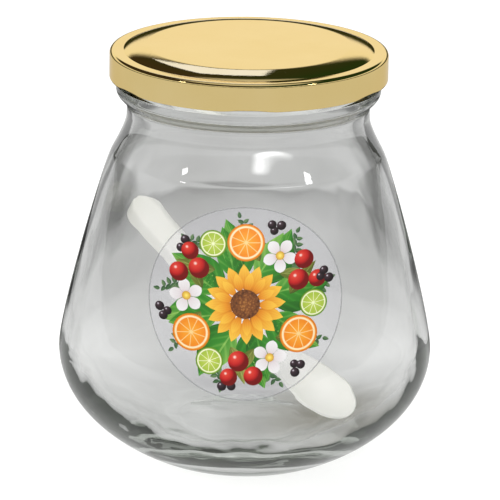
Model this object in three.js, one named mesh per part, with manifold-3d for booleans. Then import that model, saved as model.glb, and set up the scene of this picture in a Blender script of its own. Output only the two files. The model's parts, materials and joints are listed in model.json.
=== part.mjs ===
// A glass storage jar with a lacquered twist-off lid, a round clear label and a moulded spoon inside.
// Millimetres, +Z up. The jar stands on z = 0 around the Z axis, with its label towards -Y.

import * as THREE from "three";
import { mergeVertices } from "three/addons/utils/BufferGeometryUtils.js";
import Module from "manifold-3d";

const wasm = await Module();
wasm.setup();

// Shared clearances and fineness
const FIT = 0.3; // gap between faces that bear on each other
const SINK = 0.2; // how deep ridges and lugs root in the piece they are part of
const ROUND_STEPS = 48; // facets around the jar and the lid
const GLASS_STEPS = { pushUp: 3, heel: 7, body: 6, neck: 3, bead: 4, rim: 2, innerHeel: 6, innerBody: 4 };
const LID_STEPS = { panelSlope: 5, ringSlope: 3, knee: 3, curl: 4 };
const THREAD_STEPS = { ridge: 8, lug: 4 };
const LABEL_STEPS = { rings: 5, around: 36 };
const SPOON_STEPS = { along: 22, across: 8 };
const HALVINGS = 32; // steps of a search by halving

// Glass jar: the outside from the foot up, each height counted from the one below it
const FOOT_RADIUS = 26; // outer edge of the ring the jar stands on
const FOOT_WIDTH = 4; // width of that ring
const PUSH_UP = 0.8; // hollow under the base
const BELLY_RADIUS = 57.2;
const BELLY_HEIGHT = 34.5;
const SHOULDER_RISE = 61.8; // belly to shoulder
const SHOULDER_STEP = 4.5; // shoulder radius beyond the neck's
const SHOULDER_LEAN = 28.3; // degrees from upright where the wall runs into the neck
const NECK_RADIUS = 37.1;
const NECK_RISE = 11.3; // shoulder to neck
const NECK_LAND = 2.8; // straight stretch of the neck
const FINISH_STEP = 2.1; // threaded wall beyond the neck's radius
const BEAD_STAND = 1.3; // bead beyond the threaded wall
const BEAD_FLARE = 6.2; // height of the curve from neck to bead
const BEAD_LAND = 1; // upright stretch of the bead
const BEAD_ROUND = 1.2; // height of the curve from bead back to the threaded wall
const FINISH_RISE = 6.8; // top of the bead to the rim
const RIM_ROUND = 1.2;

// Glass jar: the inside
const WALL = 3;
const FLOOR_HEIGHT = 8; // top of the thick base above the table
const FLOOR_RADIUS = 24; // flat part of the floor
const HEEL_TOP = 5.5; // where the thick heel has run out, above the belly line

// How full the curves are, as shares of the span between their ends
const PUSH_UP_CURVE = 0.6;
const HEEL_START = { out: 0.16, up: 0.04 };
const HEEL_END = 0.63;
const BELLY_START = 0.148;
const SHOULDER_END = 0.092;
const NECK_START = 0.21;
const NECK_END = 0.26;
const BEAD_CURVE = { low: 0.42, high: 0.52 };
const INNER_HEEL = { out: 0.34, down: 0.6 };
const PANEL_CURVE = { start: 0.85, end: 0.05 };
const RING_CURVE = 0.4;

// Thread ridges on the glass and lugs in the lid
const THREAD_STARTS = 6;
const THREAD_PITCH = 3.1; // height between neighbouring ridges
const THREAD_DEPTH = 1.8;
const THREAD_ROOT = 1.4; // ridge thickness at the wall
const THREAD_CREST = 0.9;
const THREAD_BEFORE = 16; // degrees of ridge below the lug at rest
const THREAD_AFTER = 28; // degrees of ridge above it
const THREAD_END = 0.25; // share of the depth left at each end of a ridge
const THREAD_RUN_IN = 0.25; // share of a ridge's length over which it comes up to full depth
const LUG_ARC = 20; // degrees
const LUG_FRONT = -90; // degrees from +X to the first lug, which stands at the front
const LUG_BITE = 1.2; // how far a lug reaches in under the ridge's crest
const LUG_THICKNESS = 1;
const LUG_RAISE = 0.75; // middle of a lug's lower face above the lid's edge

// Lid, pressed from one sheet, and the sealing ring in its channel
const SHEET = 0.4;
const SKIRT_GAP = 1.1; // ridge crest to the inside of the skirt
const SKIRT_LENGTH = 8.65; // knee line to the lower edge
const CURL_RADIUS = 0.6; // rolled lower edge
const CURL_HEIGHT = 1.5; // lower edge to where the roll meets the skirt's inside
const KNEE_RADIUS = 1.2;
const RING_WIDTH = 4.2; // narrow outer ring of the lid's top
const RING_CROWN = 0.06; // crown of that ring above the channel beside it
const PANEL_RADIUS = 30.7; // flat middle of the top
const PANEL_FALL = 5; // degrees at which the top starts to fall outside it
const PANEL_RISE = 1.75; // panel above the channel
const SEAL_THICKNESS = 1.4;
const SEAL_INSIDE = 0.8; // seal's inner edge, out from the mouth
const SEAL_OUTSIDE = 0.6; // seal's outer edge, in from the skirt

// Clear round label on the front
const LABEL_RADIUS = 29;
const LABEL_RISE = 28.8; // belly line to the label's middle, along the glass
const LABEL_THICKNESS = 0.2;

// Spoon, and how it lies in the jar
const SPOON_LENGTH = 102;
const SPOON_SHEET = 1.2;
const BOWL_LENGTH = 34;
const BOWL_WIDTH = 16.2;
const BOWL_DEPTH = 3.6;
const BOWL_WIDEST = 0.46; // share of the bowl's length from its tip
const WAIST_WIDTH = 9;
const HANDLE_WIDTH = 11.2;
const HANDLE_EDGE = 2.8; // depth of the handle's turned-down edges
const HANDLE_FLAT = 0.58; // share of the handle's width that stays flat
const HANDLE_BEND = 1.2; // power that rounds the bend down to the edges
const SPOON_BLUNT = 0.01; // share of the half turn of stations left off each end
const SPOON_REACH = 39.4; // bowl tip from the jar's axis
const SPOON_TURN = -31.5; // degrees from +X to the side where the bowl lies
const SPOON_SKEW = -2; // degrees that the handle swings aside from straight across
const SPOON_ROLL = 34; // degrees about its own length, face towards the front
const SPOON_STEEPEST = 85; // degrees, the most upright that its lean is looked for
const SPOON_CLEARANCE = 0.45; // from the glass

// Sizes that follow from those above
const degrees = THREE.MathUtils.degToRad;
const shoulderHeight = BELLY_HEIGHT + SHOULDER_RISE;
const neckHeight = shoulderHeight + NECK_RISE;
const flareHeight = neckHeight + NECK_LAND;
const beadHeight = flareHeight + BEAD_FLARE;
const finishHeight = beadHeight + BEAD_LAND + BEAD_ROUND;
const rimHeight = finishHeight + FINISH_RISE;
const finishRadius = NECK_RADIUS + FINISH_STEP;
const beadRadius = finishRadius + BEAD_STAND;
const mouthRadius = NECK_RADIUS - WALL;
const threadLead = THREAD_PITCH * THREAD_STARTS;
const risePerRadian = threadLead / (2 * Math.PI);
const crestRadius = finishRadius + THREAD_DEPTH;
const skirtInside = crestRadius + SKIRT_GAP;
const lidRadius = skirtInside + SHEET;
const sealHeight = rimHeight + FIT;
const channelHeight = sealHeight + SEAL_THICKNESS + FIT + SHEET;
const panelHeight = channelHeight + PANEL_RISE;
const lidEdge = channelHeight - SKIRT_LENGTH;
const lugHeight = lidEdge + LUG_RAISE + LUG_THICKNESS / 2;
const threadHeight = lugHeight + LUG_THICKNESS / 2 + FIT + THREAD_ROOT / 2;

const at = (r, z) => new THREE.Vector2(r, z);

function curve(start, startHandle, endHandle, end) {
  return new THREE.CubicBezierCurve(start, startHandle, endHandle, end);
}

function arc(centre, radius, fromDegrees, toDegrees, steps) {
  const points = [];
  for (let i = 0; i <= steps; i++) {
    const angle = degrees(fromDegrees + ((toDegrees - fromDegrees) * i) / steps);
    points.push(at(centre.x + radius * Math.cos(angle), centre.y + radius * Math.sin(angle)));
  }
  return points;
}

// The value between low and high where a test turns true
function halve(low, high, isHigh) {
  for (let i = 0; i < HALVINGS; i++) {
    const middle = (low + high) / 2;
    if (isHigh(middle)) high = middle;
    else low = middle;
  }
  return (low + high) / 2;
}

// Solids: a closed mesh with its shared corners merged and its empty triangles dropped
function closedMesh(geometry) {
  geometry.deleteAttribute("normal");
  geometry.deleteAttribute("uv");
  const merged = mergeVertices(geometry);
  const index = merged.index.array;
  const kept = [];
  for (let i = 0; i < index.length; i += 3) {
    const [a, b, c] = index.slice(i, i + 3);
    if (a !== b && b !== c && c !== a) kept.push(a, b, c);
  }
  merged.setIndex(kept);
  return merged;
}

function solidOf(geometry) {
  const vertProperties = new Float32Array(geometry.attributes.position.array);
  const triVerts = new Uint32Array(geometry.index.array);
  return new wasm.Manifold(new wasm.Mesh({ numProp: 3, vertProperties, triVerts }));
}

function geometryOf(solid) {
  const mesh = solid.getMesh();
  const geometry = new THREE.BufferGeometry();
  geometry.setAttribute("position", new THREE.BufferAttribute(new Float32Array(mesh.vertProperties), 3));
  geometry.setIndex(Array.from(mesh.triVerts));
  return geometry;
}

function revolve(points) {
  const lathe = new THREE.LatheGeometry(points, ROUND_STEPS);
  lathe.rotateX(Math.PI / 2);
  return closedMesh(lathe);
}

// A closed skin over rings of equal length, one ring after another, with both end rings capped
function loft(rings) {
  const size = rings[0].length;
  const positions = rings.flat().flatMap((point) => [point.x, point.y, point.z]);
  const index = [];
  for (let i = 0; i + 1 < rings.length; i++) {
    for (let j = 0; j < size; j++) {
      const a = i * size + j;
      const b = i * size + ((j + 1) % size);
      index.push(a, b, b + size, a, b + size, a + size);
    }
  }
  const last = (rings.length - 1) * size;
  for (let j = 0; j < size / 2 - 1; j++) {
    const k = size - 1 - j;
    index.push(j, k, k - 1, j, k - 1, j + 1);
    index.push(last + j, last + k - 1, last + k, last + j, last + j + 1, last + k - 1);
  }
  const geometry = new THREE.BufferGeometry();
  geometry.setAttribute("position", new THREE.Float32BufferAttribute(positions, 3));
  geometry.setIndex(index);
  return geometry;
}

function piece(name, geometry, color, roughness, metalness) {
  geometry.computeVertexNormals();
  const mesh = new THREE.Mesh(geometry, new THREE.MeshStandardMaterial({ color, roughness, metalness }));
  mesh.name = name;
  return mesh;
}

// Outside of the glass: heel, body and neck, each running into the next without a corner
const foot = at(FOOT_RADIUS, 0);
const belly = at(BELLY_RADIUS, BELLY_HEIGHT);
const shoulder = at(NECK_RADIUS + SHOULDER_STEP, shoulderHeight);
const neck = at(NECK_RADIUS, neckHeight);
const lean = at(-Math.sin(degrees(SHOULDER_LEAN)), Math.cos(degrees(SHOULDER_LEAN)));
const footInside = FOOT_RADIUS - FOOT_WIDTH;
const pushUpCurve = curve(
  at(0, PUSH_UP),
  at(footInside * PUSH_UP_CURVE, PUSH_UP),
  at(footInside * PUSH_UP_CURVE, PUSH_UP),
  at(footInside, 0),
);
const heelCurve = curve(
  foot,
  at(FOOT_RADIUS + HEEL_START.out * (BELLY_RADIUS - FOOT_RADIUS), HEEL_START.up * BELLY_HEIGHT),
  at(BELLY_RADIUS, BELLY_HEIGHT * (1 - HEEL_END)),
  belly,
);
const bodyCurve = curve(
  belly,
  at(BELLY_RADIUS, BELLY_HEIGHT + BELLY_START * SHOULDER_RISE),
  shoulder.clone().addScaledVector(lean, -SHOULDER_END * SHOULDER_RISE),
  shoulder,
);
const neckCurve = curve(
  shoulder,
  shoulder.clone().addScaledVector(lean, NECK_START * NECK_RISE),
  at(NECK_RADIUS, neckHeight - NECK_END * NECK_RISE),
  neck,
);
const beadCurve = curve(
  at(NECK_RADIUS, flareHeight),
  at(NECK_RADIUS, flareHeight + BEAD_CURVE.low * BEAD_FLARE),
  at(beadRadius, beadHeight - BEAD_CURVE.high * BEAD_FLARE),
  at(beadRadius, beadHeight),
);

// Inside of the glass: the outer curves moved in by the wall, and a thick heel running down to the floor
function wallInside(outer, share) {
  const tangent = outer.getTangent(share);
  return outer.getPoint(share).add(at(-tangent.y, tangent.x).multiplyScalar(WALL));
}

const heelTopShare = halve(0, 1, (share) => wallInside(bodyCurve, share).y > BELLY_HEIGHT + HEEL_TOP);
const heelTop = wallInside(bodyCurve, heelTopShare);
const heelTopTangent = bodyCurve.getTangent(heelTopShare);
const innerHeelDrop = INNER_HEEL.down * (heelTop.y - FLOOR_HEIGHT);
const innerHeelCurve = curve(
  at(FLOOR_RADIUS, FLOOR_HEIGHT),
  at(FLOOR_RADIUS + INNER_HEEL.out * (heelTop.x - FLOOR_RADIUS), FLOOR_HEIGHT),
  heelTop.clone().addScaledVector(heelTopTangent, -innerHeelDrop),
  heelTop,
);

function innerProfile() {
  const points = [at(0, FLOOR_HEIGHT), ...innerHeelCurve.getPoints(GLASS_STEPS.innerHeel)];
  for (let i = 1; i <= GLASS_STEPS.innerBody; i++) {
    points.push(wallInside(bodyCurve, heelTopShare + ((1 - heelTopShare) * i) / GLASS_STEPS.innerBody));
  }
  for (let i = 1; i <= GLASS_STEPS.neck; i++) points.push(wallInside(neckCurve, i / GLASS_STEPS.neck));
  return points;
}

function outerProfile() {
  const rimCentre = at(finishRadius - RIM_ROUND, rimHeight - RIM_ROUND);
  const innerRimCentre = at(mouthRadius + RIM_ROUND, rimHeight - RIM_ROUND);
  return [
    ...pushUpCurve.getPoints(GLASS_STEPS.pushUp),
    ...heelCurve.getPoints(GLASS_STEPS.heel),
    ...bodyCurve.getPoints(GLASS_STEPS.body).slice(1),
    ...neckCurve.getPoints(GLASS_STEPS.neck).slice(1),
    ...beadCurve.getPoints(GLASS_STEPS.bead),
    at(beadRadius, beadHeight + BEAD_LAND),
    at(finishRadius, finishHeight),
    ...arc(rimCentre, RIM_ROUND, 0, 90, GLASS_STEPS.rim),
    ...arc(innerRimCentre, RIM_ROUND, 90, 180, GLASS_STEPS.rim),
  ];
}

// A bar wound along the thread's helix, from its section's corners at each share of its length
function helixBar(middleDegrees, fromDegrees, toDegrees, middleHeight, steps, sectionAt) {
  const rings = [];
  for (let i = 0; i <= steps; i++) {
    const turn = degrees(fromDegrees + ((toDegrees - fromDegrees) * i) / steps);
    const angle = degrees(middleDegrees) + turn;
    const height = middleHeight + risePerRadian * turn;
    const ring = sectionAt(i / steps, height).map(
      (corner) => new THREE.Vector3(corner.x * Math.cos(angle), corner.x * Math.sin(angle), corner.y),
    );
    rings.push(ring);
  }
  return loft(rings);
}

const lugAngles = Array.from({ length: THREAD_STARTS }, (_, i) => LUG_FRONT + (360 / THREAD_STARTS) * i);

function threadRidge(middle) {
  const rootRadius = finishRadius - SINK;
  const section = (share, height) => {
    const swell = THREAD_END + (1 - THREAD_END) * Math.min(1, Math.min(share, 1 - share) / THREAD_RUN_IN);
    const crest = finishRadius + THREAD_DEPTH * swell;
    return [
      at(rootRadius, height + THREAD_ROOT / 2),
      at(crest, height + THREAD_CREST / 2),
      at(crest, height - THREAD_CREST / 2),
      at(rootRadius, height - THREAD_ROOT / 2),
    ];
  };
  return helixBar(middle, -THREAD_BEFORE, THREAD_AFTER, threadHeight, THREAD_STEPS.ridge, section);
}

function glassJar() {
  const profile = [...outerProfile(), ...innerProfile().reverse()];
  let glass = solidOf(revolve(profile));
  for (const middle of lugAngles) glass = glass.add(solidOf(threadRidge(middle)));
  return piece("glass_jar", geometryOf(glass), 0xc4c9c2, 0.05, 0);
}

// Lid: the sheet's outer face from the middle of the panel to the rolled edge, then back along its inside
function lidLug(middle) {
  const innerRadius = crestRadius - LUG_BITE;
  const rootRadius = skirtInside + SINK;
  const section = (_, height) => [
    at(innerRadius, height + LUG_THICKNESS / 2),
    at(rootRadius, height + LUG_THICKNESS / 2),
    at(rootRadius, lidEdge + CURL_RADIUS),
    at(innerRadius, height - LUG_THICKNESS / 2),
  ];
  return helixBar(middle, -LUG_ARC / 2, LUG_ARC / 2, lugHeight, THREAD_STEPS.lug, section);
}

function lidShell() {
  const channelRadius = lidRadius - RING_WIDTH;
  const ringHeight = channelHeight + RING_CROWN;
  const kneeCentre = at(lidRadius - KNEE_RADIUS, ringHeight - KNEE_RADIUS);
  const slopeSpan = channelRadius - PANEL_RADIUS;
  const startReach = slopeSpan * PANEL_CURVE.start;
  const startFall = startReach * Math.tan(degrees(PANEL_FALL));
  const panelSlope = curve(
    at(PANEL_RADIUS, panelHeight),
    at(PANEL_RADIUS + startReach, panelHeight - startFall),
    at(channelRadius - slopeSpan * PANEL_CURVE.end, channelHeight),
    at(channelRadius, channelHeight),
  );
  const ringSpan = kneeCentre.x - channelRadius;
  const ringSlope = curve(
    at(channelRadius, channelHeight),
    at(channelRadius + ringSpan * RING_CURVE, channelHeight),
    at(kneeCentre.x - ringSpan * RING_CURVE, ringHeight),
    at(kneeCentre.x, ringHeight),
  );
  const curlCentre = at(lidRadius - CURL_RADIUS, lidEdge + CURL_RADIUS);
  const down = (point) => at(point.x, point.y - SHEET);
  const slopes = [
    ...panelSlope.getPoints(LID_STEPS.panelSlope),
    ...ringSlope.getPoints(LID_STEPS.ringSlope).slice(1),
  ];
  const outside = [
    at(0, panelHeight),
    ...slopes,
    ...arc(kneeCentre, KNEE_RADIUS, 90, 0, LID_STEPS.knee).slice(1),
    ...arc(curlCentre, CURL_RADIUS, 0, -180, LID_STEPS.curl),
  ];
  const inside = [
    at(skirtInside, lidEdge + CURL_HEIGHT),
    ...arc(kneeCentre, KNEE_RADIUS - SHEET, 0, 90, LID_STEPS.knee),
    ...slopes.slice(0, -1).reverse().map(down),
    at(0, panelHeight - SHEET),
  ];
  let shell = solidOf(revolve([...outside, ...inside].reverse()));
  for (const middle of lugAngles) shell = shell.add(solidOf(lidLug(middle)));
  return piece("lid_shell", geometryOf(shell), 0xd9c27c, 0.18, 1);
}

function lidSeal() {
  const inside = mouthRadius + SEAL_INSIDE;
  const outside = skirtInside - SEAL_OUTSIDE;
  const top = sealHeight + SEAL_THICKNESS;
  const profile = [
    at(inside, sealHeight),
    at(outside, sealHeight),
    at(outside, top),
    at(inside, top),
    at(inside, sealHeight),
  ];
  return piece("lid_seal", revolve(profile), 0xe9e6dc, 0.6, 0);
}

// Label: a round film that follows the glass, round as it is seen from the front
function labelFilm() {
  const side = new THREE.CurvePath();
  for (const stretch of [heelCurve, bodyCurve, neckCurve]) side.add(stretch);
  const sideLength = side.getLength();
  const middle = heelCurve.getLength() + LABEL_RISE;
  const onGlass = (across, up, off) => {
    const share = (middle + up) / sideLength;
    const point = side.getPoint(share);
    const tangent = side.getTangent(share);
    const angle = Math.asin(across / point.x);
    const r = point.x + tangent.y * off;
    return new THREE.Vector3(r * Math.sin(angle), -r * Math.cos(angle), point.y - tangent.x * off);
  };
  const faces = [FIT, FIT + LABEL_THICKNESS];
  const points = faces.map((off) => onGlass(0, 0, off));
  const { rings, around } = LABEL_STEPS;
  for (let i = 1; i <= rings; i++) {
    const radius = (LABEL_RADIUS * i) / rings;
    for (let j = 0; j < around; j++) {
      const angle = (2 * Math.PI * j) / around;
      for (const off of faces) points.push(onGlass(radius * Math.cos(angle), radius * Math.sin(angle), off));
    }
  }
  const corner = (ring, j, face) => 2 + 2 * ((ring - 1) * around + (j % around)) + face;
  const index = [];
  for (let j = 0; j < around; j++) {
    index.push(0, corner(1, j + 1, 0), corner(1, j, 0));
    index.push(1, corner(1, j, 1), corner(1, j + 1, 1));
    for (let ring = 1; ring < rings; ring++) {
      const inner = [corner(ring, j, 0), corner(ring, j + 1, 0)];
      const outer = [corner(ring + 1, j, 0), corner(ring + 1, j + 1, 0)];
      const back = [...inner, ...outer];
      index.push(back[0], back[1], back[3], back[0], back[3], back[2]);
      const front = back.map((k) => k + 1);
      index.push(front[0], front[3], front[1], front[0], front[2], front[3]);
    }
    const edge = [corner(rings, j, 0), corner(rings, j + 1, 0)];
    index.push(edge[0], edge[1], edge[1] + 1, edge[0], edge[1] + 1, edge[0] + 1);
  }
  const geometry = new THREE.BufferGeometry().setFromPoints(points);
  geometry.setIndex(index);
  return piece("label_film", geometry, 0xd6d4dc, 0.1, 0);
}

// Spoon in its own place: its tip at the origin, its handle along +X and its face up
const ease = (share) => THREE.MathUtils.smoothstep(share, 0, 1);

function spoonHalfWidth(x) {
  const widest = BOWL_WIDEST * BOWL_LENGTH;
  const bowl = BOWL_WIDTH / 2;
  const waist = WAIST_WIDTH / 2;
  const handle = HANDLE_WIDTH / 2;
  if (x < widest) return bowl * Math.sqrt(1 - (1 - x / widest) ** 2);
  if (x < BOWL_LENGTH) return bowl + (waist - bowl) * ease((x - widest) / (BOWL_LENGTH - widest));
  const end = SPOON_LENGTH - handle;
  if (x < end) return waist + (handle - waist) * ease((x - BOWL_LENGTH) / (end - BOWL_LENGTH));
  return handle * Math.sqrt(Math.max(0, 1 - ((x - end) / handle) ** 2));
}

function spoonHeight(x, side) {
  if (x < BOWL_LENGTH) {
    return -BOWL_DEPTH * Math.sin((Math.PI * x) / BOWL_LENGTH) * (1 - side ** 2);
  }
  const turned = Math.max(0, (Math.abs(side) - HANDLE_FLAT) / (1 - HANDLE_FLAT));
  return -HANDLE_EDGE * ease((x - BOWL_LENGTH) / BOWL_LENGTH) * turned ** HANDLE_BEND;
}

function spoonRings() {
  const rings = [];
  const { along, across } = SPOON_STEPS;
  for (let i = 0; i <= along; i++) {
    const share = SPOON_BLUNT + ((1 - 2 * SPOON_BLUNT) * i) / along;
    const x = (SPOON_LENGTH * (1 - Math.cos(Math.PI * share))) / 2;
    const half = spoonHalfWidth(x);
    const row = (off) =>
      Array.from({ length: across + 1 }, (_, j) => {
        const side = (2 * j) / across - 1;
        return new THREE.Vector3(x, half * side, spoonHeight(x, side) + off);
      });
    rings.push([...row(-SPOON_SHEET / 2), ...row(SPOON_SHEET / 2).reverse()]);
  }
  return rings;
}

// How deep a point lies inside the jar's hollow, below zero where it is in the glass
const innerSegments = innerProfile()
  .map((point) => new THREE.Vector3(point.x, point.y, 0))
  .map((point, i, all) => new THREE.Line3(point, all[Math.min(i + 1, all.length - 1)]))
  .slice(0, -1);

function depthInside(point) {
  const probe = new THREE.Vector3(Math.hypot(point.x, point.y), point.z, 0);
  const nearest = new THREE.Vector3();
  let distance = Infinity;
  let side = 1;
  for (const segment of innerSegments) {
    segment.closestPointToPoint(probe, true, nearest);
    const away = nearest.distanceTo(probe);
    if (away < distance) {
      const run = segment.delta(new THREE.Vector3());
      const off = new THREE.Vector3().subVectors(probe, segment.start);
      distance = away;
      side = run.x * off.y - run.y * off.x >= 0 ? 1 : -1;
    }
  }
  return side * distance;
}

// The spoon's group turns to its side of the jar, its tip is set down on the heel, and the handle then
// leans over until it meets the wall
function leanSpoon(rings) {
  const bowl = rings.filter((ring) => ring[0].x < BOWL_LENGTH).flat();
  const handle = rings.filter((ring) => ring[0].x >= BOWL_LENGTH).flat();
  const place = new THREE.Group();
  place.rotation.order = "ZYX";
  const leastDepth = (points) => {
    place.updateMatrix();
    return Math.min(...points.map((point) => depthInside(point.clone().applyMatrix4(place.matrix))));
  };
  const setDown = (tilt) => {
    place.rotation.set(degrees(-SPOON_ROLL), degrees(tilt), degrees(SPOON_TURN + 180 + SPOON_SKEW));
    const turn = degrees(SPOON_TURN);
    place.position.set(SPOON_REACH * Math.cos(turn), SPOON_REACH * Math.sin(turn), 0);
    place.position.z = halve(FLOOR_HEIGHT, BELLY_HEIGHT, (z) => {
      place.position.z = z;
      return leastDepth(bowl) > SPOON_CLEARANCE;
    });
  };
  const tilt = halve(-SPOON_STEEPEST, 0, (angle) => {
    setDown(angle);
    return leastDepth(handle) < SPOON_CLEARANCE;
  });
  setDown(tilt);
  return place;
}

function spoon() {
  const rings = spoonRings();
  const place = leanSpoon(rings);
  place.add(piece("spoon", loft(rings), 0xf2efe6, 0.35, 0));
  return place;
}

const jar = new THREE.Group();
jar.add(glassJar(), lidShell(), lidSeal(), labelFilm(), spoon());

export default jar;
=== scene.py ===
# %% [markdown]
# A glass storage jar, step by step. The solids of the jar come in as a frame: they give the sizes and the
# moving bodies. Over them this lesson models what the eye sees: the clear glass with its thick base, the
# gold lid, the sealing ring in it, the round clear label with a printed wreath, and the white spoon
# inside. The first cell loads the frame.

# %% Load the frame
import json
import math

import bpy
from mathutils import Matrix, Quaternion, Vector, noise as field


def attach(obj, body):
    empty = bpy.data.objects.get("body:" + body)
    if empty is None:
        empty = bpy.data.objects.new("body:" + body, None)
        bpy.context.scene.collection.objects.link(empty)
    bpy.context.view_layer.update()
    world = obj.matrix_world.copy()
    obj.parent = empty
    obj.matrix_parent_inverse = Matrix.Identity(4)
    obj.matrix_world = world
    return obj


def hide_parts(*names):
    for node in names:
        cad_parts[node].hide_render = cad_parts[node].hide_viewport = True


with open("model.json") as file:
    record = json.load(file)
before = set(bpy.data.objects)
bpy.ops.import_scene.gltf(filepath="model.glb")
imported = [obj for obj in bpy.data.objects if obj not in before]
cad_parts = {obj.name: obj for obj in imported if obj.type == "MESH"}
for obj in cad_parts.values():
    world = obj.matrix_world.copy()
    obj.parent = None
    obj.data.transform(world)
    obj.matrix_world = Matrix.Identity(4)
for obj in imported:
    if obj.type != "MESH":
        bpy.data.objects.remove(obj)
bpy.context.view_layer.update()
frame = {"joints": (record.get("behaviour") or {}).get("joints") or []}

MM = 0.001

# %% [markdown]
# The camera stands where the photograph was taken from: about 1.8 m away, a little above the lid, with a
# long lens. A long lens keeps the two sides of the round lid nearly parallel. The point that it looks at
# lies just above the middle of the jar, so the framing needs no lens shift, and it is rolled by a degree,
# as it was then.

# %% Camera at the photograph's angle
CAMERA_DISTANCE = 1.8
CAMERA_RISE = math.radians(16.32)
CAMERA_LENS = 421.8
JAR_MIDDLE = Vector((0, 0, 0.062))
LOOK_AT = Vector((0.0012, 0, 0.0646))
CAMERA_ROLL = math.radians(0.9)

back = Vector((0, -math.cos(CAMERA_RISE), math.sin(CAMERA_RISE)))
eye = JAR_MIDDLE + back * CAMERA_DISTANCE
facing = (LOOK_AT - eye).to_track_quat("-Z", "Y") @ Quaternion((0, 0, 1), CAMERA_ROLL)
bpy.ops.object.camera_add(location=eye, rotation=facing.to_euler())
camera = bpy.context.object
camera.name = "camera"
camera.data.lens = CAMERA_LENS
bpy.context.scene.camera = camera
print("camera at", [round(v, 3) for v in eye])

# %% [markdown]
# The light is a plain studio. The world stands for its room: a bright band of wall and a dark ceiling,
# brown to the left, green to the right and lit straight above, which is what the polished lid mirrors.
# The camera sees plain white, and rays that come out of the glass see patchy greys, as in a furnished
# room. A Light Path node tells them apart. Small helpers for node trees start here, because every
# material later needs them too.

# %% Helpers for node trees
def add_node(tree, kind, **inputs):
    node = tree.nodes.new(kind)
    for name, value in inputs.items():
        set_input(tree, node.inputs[name.replace("_", " ")], value)
    return node


def set_input(tree, socket, value):
    if isinstance(value, bpy.types.NodeSocket):
        tree.links.new(value, socket)
    elif isinstance(value, (tuple, list)) and len(value) == 3 and socket.type == "RGBA":
        socket.default_value = (*value, 1)
    else:
        socket.default_value = value


def calc(tree, operation, *values):
    node = tree.nodes.new("ShaderNodeMath")
    node.operation = operation
    for socket, value in zip(node.inputs, values):
        set_input(tree, socket, value)
    return node.outputs[0]


def ramp(tree, factor, stops, smooth=False):
    node = tree.nodes.new("ShaderNodeValToRGB")
    node.color_ramp.interpolation = "EASE" if smooth else "LINEAR"
    elements = node.color_ramp.elements
    while len(elements) < len(stops):
        elements.new(0.5)
    for element, (place, colour) in zip(elements, stops):
        element.position = place
        element.color = (*colour, 1)
    tree.links.new(factor, node.inputs[0])
    return node.outputs[0]


def blend(tree, share, first, second):
    node = tree.nodes.new("ShaderNodeMix")
    node.data_type = "RGBA"
    for socket, value in zip((node.inputs[0], node.inputs[6], node.inputs[7]), (share, first, second)):
        set_input(tree, socket, value)
    return node.outputs[2]


def grey(value):
    return (value, value, value)


# %% Studio room
CEILING_FROM, CEILING_FULL = 0.665, 0.705
WALL_STOPS = [  # what the lid mirrors, by the sine of the height above the horizon, from below to above
    (0.500, (0.030, 0.035, 0.012)),
    (0.572, (0.040, 0.045, 0.015)),
    (0.596, grey(1.00)),
    (CEILING_FROM, grey(1.00)),
    (CEILING_FULL, grey(0.05)),
]
GLASS_STOPS = [  # what is seen through the glass
    (0.500, grey(0.45)),
    (0.600, grey(0.78)),
    (0.720, grey(0.62)),
    (1.000, grey(0.30)),
]
GLASS_SIDES = [(0.25, grey(1.0)), (0.70, grey(0.32))]  # to the sides the room is darker
PATCH_LEVEL, PATCH_CONTRAST, PATCH_LEAST, PATCH_SCALE = -0.6, 3.2, 0.1, 4.0
CEILING_SPREAD = 2.0  # how fast the ceiling turns from one colour to the other
CEILING_LEFT = (0.045, 0.034, 0.018)
CEILING_RIGHT = (0.020, 0.042, 0.012)
CEILING_LIGHT = grey(0.60)
CEILING_LIGHT_FROM, CEILING_LIGHT_FULL = 0.925, 0.965

room = bpy.data.worlds.new("studio_room")
bpy.context.scene.world = room
room.use_nodes = True
tree = room.node_tree
tree.nodes.clear()
direction = add_node(tree, "ShaderNodeTexCoord").outputs["Generated"]
toward = add_node(tree, "ShaderNodeSeparateXYZ", Vector=direction).outputs
height = calc(tree, "MULTIPLY_ADD", toward["Z"], 0.5, 0.5)
across = calc(tree, "MULTIPLY_ADD", toward["X"], CEILING_SPREAD, 0.5)
ceiling = ramp(tree, across, [(0.0, CEILING_LEFT), (1.0, CEILING_RIGHT)])
upward = ramp(tree, height, [(CEILING_LIGHT_FROM, grey(0.0)), (CEILING_LIGHT_FULL, grey(1.0))])
ceiling = blend(tree, upward, ceiling, CEILING_LIGHT)
overhead = ramp(tree, height, [(CEILING_FROM, grey(0.0)), (CEILING_FULL, grey(1.0))])
walls = add_node(tree, "ShaderNodeBackground", Color=ramp(tree, height, WALL_STOPS))
above = add_node(tree, "ShaderNodeBackground", Color=ceiling)
patches = add_node(tree, "ShaderNodeTexNoise", Vector=direction, Scale=PATCH_SCALE, Detail=3.0).outputs["Fac"]
patches = calc(tree, "MULTIPLY_ADD", patches, PATCH_CONTRAST, PATCH_LEVEL)
patches = calc(tree, "MAXIMUM", patches, PATCH_LEAST)
sides = ramp(tree, calc(tree, "ABSOLUTE", toward["X"]), GLASS_SIDES)
uneven = calc(tree, "MULTIPLY", sides, patches)
through = add_node(tree, "ShaderNodeBackground", Color=ramp(tree, height, GLASS_STOPS), Strength=uneven)
white = add_node(tree, "ShaderNodeBackground", Color=grey(1.0))
path = add_node(tree, "ShaderNodeLightPath").outputs


def choose(tree, share, first, second):
    node = add_node(tree, "ShaderNodeMixShader", Fac=share)
    tree.links.new(first.outputs[0], node.inputs[1])
    tree.links.new(second.outputs[0], node.inputs[2])
    return node


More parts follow.
